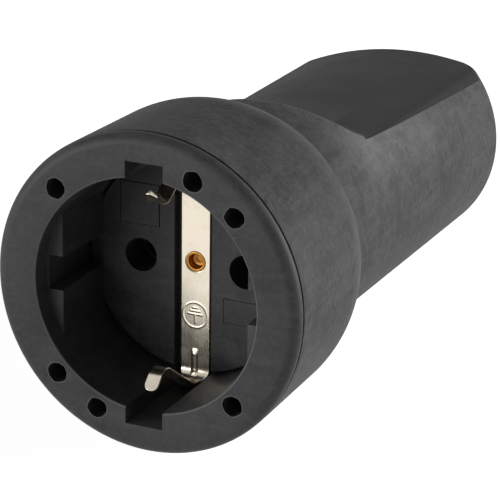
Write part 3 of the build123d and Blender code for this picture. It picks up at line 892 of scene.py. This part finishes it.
def cup_profile(c, steps=16):
    """Closed profile of the cup before its notches, slots and holes are cut."""
    width = c.flange_radius - c.face_radius
    turns = [math.pi / 2 * k / steps for k in range(steps + 1)]
    rim = [(c.face_radius + width * math.sin(turn), c.rim_depth * (1 - math.cos(turn))) for turn in turns]
    return rounded([
        (c.face_radius - 1.2 * MM, 0.0),
        *rim,
        (c.flange_radius, c.flange_thickness, 0.1 * MM),
        (c.cup_radius, c.flange_thickness),
        (c.cup_radius, c.bead_place - c.bead_width / 2),
        (c.cup_radius + c.bead_height, c.bead_place, 0.3 * MM),
        (c.cup_radius, c.bead_place + c.bead_width / 2),
        (c.cup_radius, c.cup_length),
        (c.floor_radius, c.cup_length),
        (c.floor_radius, c.recess_depth),
        (c.mouth_radius, 0.0, c.mouth_round),
    ])


def cheek_mesh(c, side, steps=40):
    """One cheek: a segment of the recess behind its ledge."""
    edge = c.floor_radius + SPARE
    half = math.acos(c.cheek_place / edge)
    turns = [half - 2 * half * k / steps for k in range(steps + 1)]
    outline = [(side * edge * math.cos(turn), edge * math.sin(turn)) for turn in turns]
    return prism_mesh(*([(x, y, z) for x, z in outline] for y in (c.cheek_front, c.recess_depth)))


def blind_places(c):
    """Places of the six small blind holes in the ring's face, as (x, z)."""
    turns = [math.radians(degrees) for degrees in BLIND_ANGLES]
    return [(c.blind_circle * math.cos(turn), c.blind_circle * math.sin(turn)) for turn in turns]


def slot_mesh(c, side):
    """Wedge that cuts the tapered slot out of one cheek."""
    run = (c.slot_wide - c.slot_narrow) / (c.recess_depth - c.cheek_front)
    near, far = side * (c.cheek_place - 2 * SPARE), side * c.slot_reach
    ends = []
    for y in (c.cheek_front - 2 * SPARE, c.recess_depth + SPARE):
        half = (c.slot_wide - run * (y - c.cheek_front)) / 2
        ends.append([(near, y, -half), (far, y, -half), (far, y, half), (near, y, half)])
    return prism_mesh(*ends)


def mark_edges(mesh, c):
    """Marks the small faces of the mouth's and the notches' rounded front edges, which get a pale tone of
    wear and painted highlight.
    """
    attribute = mesh.attributes.new("edge", "FLOAT", "CORNER")
    values = np.zeros(len(mesh.loops), np.float32)
    for face in mesh.polygons:
        x, y, z = face.center
        radius = math.hypot(x, z)
        facing = -face.normal.y
        at_mouth = c.mouth_radius - 0.1 * MM < radius < c.notch_reach + 0.4 * MM
        leans = EDGE_FACING[0] < facing < EDGE_FACING[1]
        if y < EDGE_DEPTH and leans and at_mouth and face.area < EDGE_AREA:
            values[face.loop_start:face.loop_start + face.loop_total] = 1.0
    attribute.data.foreach_set("value", values)


class SOCKET_OT_cup(bpy.types.Operator):
    """Front cup: ring with blind holes and notches, recess wall with cheeks and slots"""
    bl_idname = "socket.cup"
    bl_label = "Front cup"

    def execute(self, context):
        c = settings("socket_cup")
        obj = new_object("cup", turned_mesh("cup", cup_profile(c), 300))
        cut(obj, [cheek_mesh(c, side) for side in (-1, 1)], "UNION")
        half = c.notch_width / 2
        notches = [box_mesh(
            (-half, -SPARE, side * (c.mouth_radius - 3 * SPARE)),
            (half, c.cup_length + SPARE, side * c.notch_reach),
        ) for side in (-1, 1)]
        for mesh in notches:
            outward(mesh)
        holes = [rod_mesh(c.blind_radius, -SPARE, c.blind_depth, x, z, 48) for x, z in blind_places(c)]
        cut(obj, [slot_mesh(c, side) for side in (-1, 1)] + notches + holes)
        soften(obj, c.edge_round)
        outward(obj.data)
        mark_edges(obj.data, c)
        return finish_piece(obj, "dark_moulding", 40, ["socket_cup"])


# Flash round the blind holes, made with Geometry Nodes

# Pale tone of the flash's thin rim: wear and a painted highlight
FLASH_WEAR_AND_HIGHLIGHT = 0.8


def flash_nodes():
    """Node group: a thin ragged rim of flash on each point, turned at random about the hole."""
    tree = bpy.data.node_groups.new("hole_flash", "GeometryNodeTree")
    face = tree.interface
    sockets = (
        ("Geometry", "Geometry"), ("Hole radius", "Float"), ("Flash width", "Float"), ("Ragged", "Float"),
        ("Seed", "Int"), ("Material", "Material"),
    )
    for name, kind in sockets:
        face.new_socket(name, in_out="INPUT", socket_type="NodeSocket" + kind)
    face.new_socket("Geometry", in_out="OUTPUT", socket_type="NodeSocketGeometry")
    node = partial(new_node, tree)
    source = node("NodeGroupInput")
    circle = node("GeometryNodeCurvePrimitiveCircle", {"Resolution": 96, "Radius": source["Hole radius"]})
    ragged = node("ShaderNodeTexNoise", {"Scale": 900.0, "Detail": 2.0})
    centred = node("ShaderNodeMath", {0: ragged["Fac"], 1: 0.5}, operation="SUBTRACT")
    size = node("ShaderNodeMath", {0: centred["Value"], 1: source["Ragged"]}, operation="MULTIPLY")
    along = node("GeometryNodeInputPosition")
    shift = {0: along["Position"], "Scale": size["Value"]}
    shift = node("ShaderNodeVectorMath", shift, operation="SCALE")
    moved = node("GeometryNodeSetPosition", {"Geometry": circle["Curve"], "Offset": shift["Vector"]})
    section = node("GeometryNodeCurvePrimitiveCircle", {"Resolution": 8, "Radius": source["Flash width"]})
    rim = node("GeometryNodeCurveToMesh", {"Curve": moved["Geometry"], "Profile Curve": section["Curve"]})
    quarter = (math.pi / 2, 0.0, 0.0)
    upright = node("GeometryNodeTransform", {"Geometry": rim["Mesh"], "Rotation": quarter})
    turn = node(
        "FunctionNodeRandomValue",
        {"Min": (0.0, 0.0, 0.0), "Max": (0.0, 2 * math.pi, 0.0), "Seed": source["Seed"]},
        data_type="FLOAT_VECTOR",
    )
    copies = node("GeometryNodeInstanceOnPoints", {
        "Points": source["Geometry"], "Instance": upright["Geometry"], "Rotation": turn["Value"],
    })
    real = node("GeometryNodeRealizeInstances", {"Geometry": copies["Instances"]})
    finish = {"Geometry": real["Geometry"], "Material": source["Material"]}
    node("NodeGroupOutput", {"Geometry": node("GeometryNodeSetMaterial", finish)["Geometry"]})
    return tree


class SOCKET_OT_flash(bpy.types.Operator):
    """Thin ragged flash round the six blind holes"""
    bl_idname = "socket.flash"
    bl_label = "Flash"

    def execute(self, context):
        c = settings("socket_cup")
        mesh = bpy.data.meshes.new("flash")
        mesh.from_pydata([(x, c.flash_sink * c.flash_width, z) for x, z in blind_places(c)], [], [])
        obj = new_object("flash", mesh)
        modifier = obj.modifiers.new("flash", "NODES")
        modifier.node_group = flash_nodes()
        values = {
            "Hole radius": c.blind_radius + 0.05 * MM, "Flash width": c.flash_width,
            "Ragged": c.flash_ragged, "Seed": c.flash_seed, "Material": material_for("dark_moulding"),
        }
        for item in modifier.node_group.interface.items_tree:
            if item.in_out == "INPUT" and item.name in values:
                modifier[item.identifier] = values[item.name]
        apply_modifiers(obj)
        outward(obj.data)
        # Pale flash: wear and a painted highlight on its rim
        wear_and_highlight = obj.data.attributes.new("edge", "FLOAT", "POINT")
        wear_and_highlight.data.foreach_set("value", np.full(len(wear_and_highlight.data), FLASH_WEAR_AND_HIGHLIGHT, np.float32))
        return finish_piece(obj, "dark_moulding", 80)


# Recess floor

def floor_cuts(k, c):
    """Channel, pin holes, rivet hole and the earth terminal's room in the floor."""
    back = c.cup_length + k.flange_thickness
    half = k.channel_width / 2
    end = c.cup_radius + SPARE
    cuts = [box_mesh((-half, c.recess_depth - 2 * SPARE, -end), (half, k.channel_floor, end))]
    for side in (-1, 1):
        x = side * k.pin_spacing / 2
        cuts.append(rod_mesh(k.pin_radius, c.recess_depth - SPARE, back - k.pin_lip_depth, x))
        cuts.append(rod_mesh(k.pin_lip, c.recess_depth, back + SPARE, x))
    cuts.append(box_mesh(
        (-k.earth_half_width, k.earth_floor, -k.earth_half),
        (k.earth_half_width, back + SPARE, k.earth_half),
    ))
    cuts.append(rod_mesh(k.rivet_hole, k.channel_floor - SPARE, k.earth_floor + SPARE))
    return cuts


# Plain pads on the floor as (x, z, width, height) in millimetres
PADS = ((-9.7, 8.9, 7.0, 7.0), (10.0, -7.2, 8.6, 4.0))


def pad_meshes(k, c, grow=0.0):
    """Two plain pads on the floor: a square one and a long one, or the moats round them."""
    meshes = []
    top = c.recess_depth - (SPARE if grow else k.pad_height)
    bottom = c.recess_depth + (k.pad_moat if grow else SPARE)
    for x, z, width, height in PADS:
        low = (MM * (x - width / 2) - grow, top, MM * (z - height / 2) - grow)
        high = (MM * (x + width / 2) + grow, bottom, MM * (z + height / 2) + grow)
        meshes.append(box_mesh(low, high))
    return meshes


class SOCKET_OT_floor(bpy.types.Operator):
    """Floor of the recess with its channel, pads and pin holes"""
    bl_idname = "socket.floor"
    bl_label = "Recess floor"

    def execute(self, context):
        k = settings("socket_floor")
        c = settings("socket_cup")
        front = c.recess_depth
        back = c.cup_length + k.flange_thickness
        profile = rounded([
            (0.0, front),
            (k.plate_radius, front, k.plate_edge),
            (k.plate_radius, c.cup_length),
            (c.cup_radius, c.cup_length),
            (c.cup_radius, back),
            (0.0, back),
        ])
        obj = new_object("base", turned_mesh("base", profile, 180))
        cut(obj, pad_meshes(k, c, k.pad_moat))
        cut(obj, pad_meshes(k, c), "UNION")
        cut(obj, floor_cuts(k, c))
        soften(obj, k.edge_round, 2)
        outward(obj.data)
        return finish_piece(obj, "dark_moulding", 40, ["recess_floor"])


# Earth strap

STRAP_STEP = 0.13 * MM
# How far the strip's round sides stand out, in half thicknesses
SIDE_BULGE = 0.55


def strap_line(s):
    """Centre line of the strap's upper half as (y, z), from the middle to the clip's tip."""
    centre = s.face + s.thickness / 2
    corners = [
        (centre, 0.0),
        (centre, s.bend_height, s.bend_radius),
        (s.apex_place, s.apex_height, s.apex_radius),
        (s.tip_place, s.tip_height),
    ]
    line = rounded(corners, 24)
    points = [point for a, b in zip(line, line[1:]) for point in divided(a, b, STRAP_STEP)]
    return np.array([*points, line[-1]])


def strap_half_width(s, along):
    """Half width along the strap: full on the flat part, round shoulders, then the tongue."""
    full = s.width / 2
    tongue = s.tongue_width / 2
    run = np.clip((along - s.shoulder_start) / (s.shoulder_end - s.shoulder_start), 0.0, 1.0)
    return full + (tongue - full) * (3 * run ** 2 - 2 * run ** 3)


# The earth sign lies in front of this height, with bars at these heights and half lengths
SIGN_END = 14 * MM
SIGN_BARS = ((0.15, 1.25), (0.72, 0.85), (1.28, 0.42))


def earth_sign(s, x, z):
    """Height of the raised earth sign at a point of the strap's face, its stem down, from 0 to 1."""
    z = z + s.sign_height
    half = s.sign_line / 2
    distance = np.abs(np.hypot(x, z) - s.sign_radius)
    stem = np.where(z < 0.1 * MM, np.abs(x), 1.0) + np.maximum(-z - 1.35 * MM, 0.0)
    distance = np.minimum(distance, stem)
    for level, reach in SIGN_BARS:
        bar = np.hypot(np.maximum(np.abs(x) - reach * MM, 0.0), z - level * MM)
        distance = np.minimum(distance, bar)
    return np.clip((half - distance) / (0.12 * MM) + 0.5, 0.0, 1.0)


def strap_points(s):
    """Grid of the strap's skin, rows along it and columns round its section."""
    half_line = strap_line(s)
    lower = half_line[::-1] * np.array([1.0, -1.0])
    line = np.vstack([lower[:-1], half_line])
    step = np.gradient(line, axis=0)
    step /= np.linalg.norm(step, axis=1)[:, None]
    middle = len(half_line) - 1
    distance = np.zeros(len(line))
    distance[1:] = np.cumsum(np.linalg.norm(np.diff(line, axis=0), axis=1))
    along = np.abs(distance - distance[middle])
    half_width = strap_half_width(s, along)
    tip = distance[-1] - distance[middle]
    end = np.clip((tip - along) / (s.tongue_width / 2), 0.0, 1.0)
    half_width = half_width * np.sqrt(np.clip(1 - (1 - end) ** 2, 0.03, 1.0))
    edge = s.thickness / 2
    columns = 56
    across = np.linspace(-1.0, 1.0, columns)
    bulge = np.linspace(math.pi / 2, -math.pi / 2, 10)[1:-1]
    rows = []
    for i, (y, z) in enumerate(line):
        normal = np.array([-step[i, 1], step[i, 0]])
        inner = half_width[i] - edge * SIDE_BULGE
        x_front = across * inner
        lift = np.full(columns, edge)
        rib = np.clip((along[i] - s.rib_start) / (0.9 * MM), 0.0, 1.0)
        rib *= np.clip((s.rib_end - along[i]) / (1.2 * MM), 0.0, 1.0)
        ridge = np.clip(1 - (x_front / (s.rib_width / 2)) ** 2, 0.0, 1.0)
        lift = lift + rib * s.rib_height * ridge ** 0.7
        if -SIGN_END < z < 0:
            lift = lift + s.sign_depth * earth_sign(s, x_front, z)
        section = list(zip(x_front, lift))
        section += [(inner + edge * SIDE_BULGE * math.cos(a), edge * math.sin(a)) for a in bulge]
        section += [(x, -edge) for x in np.linspace(inner, -inner, 9)]
        section += [(-inner - edge * SIDE_BULGE * math.cos(a), -edge * math.sin(a)) for a in bulge]
        rows.append([(x, y + normal[0] * h, z + normal[1] * h) for x, h in section])
    return np.array(rows)


def capped_tube(name, points):
    """Closed mesh from rows of a tube, with both ends filled."""
    mesh = grid_mesh(name, points)
    bm = bmesh.new()
    bm.from_mesh(mesh)
    open_edges = [e for e in bm.edges if e.is_boundary]
    bmesh.ops.holes_fill(bm, edges=open_edges)
    bmesh.ops.recalc_face_normals(bm, faces=bm.faces)
    bm.to_mesh(mesh)
    bm.free()
    return mesh


class SOCKET_OT_strap(bpy.types.Operator):
    """Earth strap: one bent strip with a spring clip at each end"""
    bl_idname = "socket.strap"
    bl_label = "Earth strap"

    def execute(self, context):
        s = settings("socket_strap")
        obj = new_object("strap", capped_tube("strap", strap_points(s)))
        front = s.face - SPARE
        cut(obj, [
            rod_mesh(s.hole_radius, front, s.face + s.thickness + SPARE),
            rod_mesh(s.seat_radius, front, s.face + s.seat_depth),
        ])
        outward(obj.data)
        return finish_piece(obj, "strap_nickel", 35, ["earth_strap"])


class SOCKET_OT_rivet(bpy.types.Operator):
    """Hollow rivet: tube with a rolled head in front and a turned tail behind"""
    bl_idname = "socket.rivet"
    bl_label = "Hollow rivet"

    def execute(self, context):
        r = settings("socket_rivet")
        s = settings("socket_strap")
        seat = s.face + s.seat_depth
        head = seat - r.head_thickness
        back = r.tail_face + r.tail_thickness
        bottom = head + r.bore_depth
        profile = rounded([
            (r.bore_radius, head, 0.17 * MM),
            (r.head_radius, head, 0.17 * MM),
            (r.head_radius, seat, 0.05 * MM),
            (r.bore_radius + r.wall, seat),
            (r.bore_radius + r.wall, r.tail_face),
            (r.tail_radius, r.tail_face, 0.1 * MM),
            (r.tail_radius, back, 0.1 * MM),
            (r.bore_radius, back, 0.1 * MM),
            (r.bore_radius, bottom + r.web),
            (0.0, bottom + r.web),
            (0.0, bottom),
            (r.bore_radius * 0.55, bottom + 0.05 * MM, 0.2 * MM),
            (r.bore_radius, bottom, 0.25 * MM),
        ], 5)
        obj = new_object("rivet", turned_mesh("rivet", profile, 96))
        return finish_piece(obj, "bare_brass", 40, ["centre_rivet"])


class SOCKET_OT_inner(bpy.types.Operator):
    """Finishes of the pieces inside: contacts, terminals, cover, clamp and screws"""
    bl_idname = "socket.inner"
    bl_label = "Inner pieces"

    def execute(self, context):
        for part in frame["record"]["subparts"]:
            node = frame["nodes"][part["node"]]
            node.data.materials.clear()
            node.data.materials.append(material_for(SLOT_MATERIALS[part["material_slot"]]))
        return {"FINISHED"}


# Stage

FLOOR_HALF = 4.0
# Distances from the middle between which the floor's glow rises to white
GLOW_RISE = (0.2, 0.7)
# Each light's name, azimuth and elevation in degrees, and size in metres
LIGHTS = (
    ("left", -135.0, 7.0, (0.35, 0.2)),
    ("front", -110.0, 10.0, (0.35, 0.25)),
    ("right", 20.0, 12.0, (0.35, 0.35)),
    ("back", 45.0, 12.0, (0.35, 0.35)),
)


def soft_light(name, reach, azimuth, elevation, size, watts):
    """Soft area light facing the socket, from an azimuth (0 is right, -90 in front) and an elevation."""
    turn, rise = math.radians(azimuth), math.radians(elevation)
    target = Vector((0.0, 0.0, 0.03))
    way = Vector((math.cos(rise) * math.cos(turn), math.cos(rise) * math.sin(turn), math.sin(rise)))
    lamp = bpy.data.lights.new(name, "AREA")
    lamp.shape = "RECTANGLE"
    lamp.size, lamp.size_y = size
    lamp.energy = watts
    obj = new_object(name, lamp)
    obj.location = target + way * reach
    obj.rotation_euler = (-way).to_track_quat("-Z", "Y").to_euler()


def seen_directly(tree, rays):
    """1 for rays from the camera or through glass."""
    return combine(tree, "MAXIMUM", rays["Is Camera Ray"], rays["Is Transmission Ray"])


def floor_material(stage):
    """Pale floor: white to the camera apart from the shadow on it, whiter with the distance."""
    material, tree, place = new_material("studio_floor")
    rays = new_node(tree, "ShaderNodeLightPath")
    seen = combine(tree, "MAXIMUM", seen_directly(tree, rays), rays["Is Glossy Ray"])
    distance = new_node(tree, "ShaderNodeVectorMath", {0: place}, operation="LENGTH")["Value"]
    level = ramp(tree, distance, *GLOW_RISE, stage.glow, 1.0)
    tone = (*settings("socket_finish").floor, 1.0)
    diffuse = new_node(tree, "ShaderNodeBsdfDiffuse", {"Color": tone})["BSDF"]
    strength = combine(tree, "MULTIPLY", seen, level)
    glow = new_node(tree, "ShaderNodeEmission", {"Strength": strength})["Emission"]
    both = new_node(tree, "ShaderNodeAddShader", {0: diffuse, 1: glow})["Shader"]
    new_node(tree, "ShaderNodeOutputMaterial", {"Surface": both})
    return material


def studio_world(stage):
    """Even light from all around, white where the camera or a reflection sees it."""
    world = bpy.data.worlds.new("studio")
    tree = empty_tree(world)
    rays = new_node(tree, "ShaderNodeLightPath")
    shine = combine(tree, "MULTIPLY", rays["Is Glossy Ray"], stage.shine)
    seen = combine(tree, "MAXIMUM", seen_directly(tree, rays), shine)
    strength = ramp(tree, seen, 0.0, 1.0, stage.sky, 1.0)
    back = new_node(tree, "ShaderNodeBackground", {"Color": (1.0, 1.0, 1.0, 1.0), "Strength": strength})
    new_node(tree, "ShaderNodeOutputWorld", {"Surface": back["Background"]})
    bpy.context.scene.world = world


def camera_matrix(stage):
    """Camera's place and turn in the row's frame."""
    eye = Vector(stage.eye)
    view = (Vector(stage.aim) - eye).normalized()
    level_up = (Vector((0.0, 0.0, 1.0)) - view * view.z).normalized()
    up = Matrix.Rotation(stage.roll, 3, view) @ level_up
    right = view.cross(up)
    matrix = Matrix((
        (right.x, up.x, -view.x, eye.x),
        (right.y, up.y, -view.y, eye.y),
        (right.z, up.z, -view.z, eye.z),
        (0.0, 0.0, 0.0, 1.0),
    ))
    return rest_place() @ matrix


class SOCKET_OT_stage(bpy.types.Operator):
    """Pale floor, soft lights and the camera at the photograph's angle"""
    bl_idname = "socket.stage"
    bl_label = "Stage"

    def execute(self, context):
        stage = settings("socket_stage")
        mesh = bpy.data.meshes.new("floor")
        corners = [(x * FLOOR_HALF, y * FLOOR_HALF, 0.0) for x, y in ((-1, -1), (1, -1), (1, 1), (-1, 1))]
        mesh.from_pydata(corners, [], [(0, 1, 2, 3)])
        floor = new_object("floor", mesh)
        floor.data.materials.append(floor_material(stage))
        for name, azimuth, elevation, size in LIGHTS:
            watts = getattr(stage, f"{name}_power")
            soft_light(f"{name}_light", stage.reach, azimuth, elevation, size, watts)
        studio_world(stage)
        camera = bpy.data.cameras.new("camera")
        camera.lens = stage.lens
        camera.sensor_width = 36.0
        camera.clip_start = 0.01
        obj = new_object("camera", camera)
        obj.matrix_world = camera_matrix(stage)
        context.scene.camera = obj
        context.scene.view_settings.view_transform = "Standard"
        return {"FINISHED"}


class SOCKET_PT_panel(bpy.types.Panel):
    """Lists the socket's pieces"""
    bl_idname = "SOCKET_PT_panel"
    bl_label = "Rubber cable socket"
    bl_space_type = "VIEW_3D"
    bl_region_type = "UI"
    bl_category = "Socket"

    def draw(self, context):
        for operator in OPERATORS:
            self.layout.operator(operator.bl_idname)


GROUPS = {
    "socket_housing": SocketHousing,
    "socket_cup": SocketCup,
    "socket_floor": SocketFloor,
    "socket_strap": SocketStrap,
    "socket_rivet": SocketRivet,
    "socket_finish": SocketFinish,
    "socket_stage": SocketStage,
}
OPERATORS = (
    SOCKET_OT_inner,
    SOCKET_OT_housing,
    SOCKET_OT_cup,
    SOCKET_OT_flash,
    SOCKET_OT_floor,
    SOCKET_OT_strap,
    SOCKET_OT_rivet,
    SOCKET_OT_stage,
)


def register():
    for name, group in GROUPS.items():
        bpy.utils.register_class(group)
        setattr(bpy.types.Scene, name, bpy.props.PointerProperty(type=group))
    for cls in (*OPERATORS, SOCKET_PT_panel):
        bpy.utils.register_class(cls)


def unregister():
    for cls in reversed((*OPERATORS, SOCKET_PT_panel)):
        bpy.utils.unregister_class(cls)
    for name, group in reversed(GROUPS.items()):
        delattr(bpy.types.Scene, name)
        bpy.utils.unregister_class(group)


def main():
    register()
    bpy.ops.socket.inner()
    bpy.ops.socket.housing()
    bpy.ops.socket.cup()
    bpy.ops.socket.flash()
    bpy.ops.socket.floor()
    bpy.ops.socket.strap()
    bpy.ops.socket.rivet()
    bpy.ops.socket.stage()


if __name__ == "__main__":
    main()
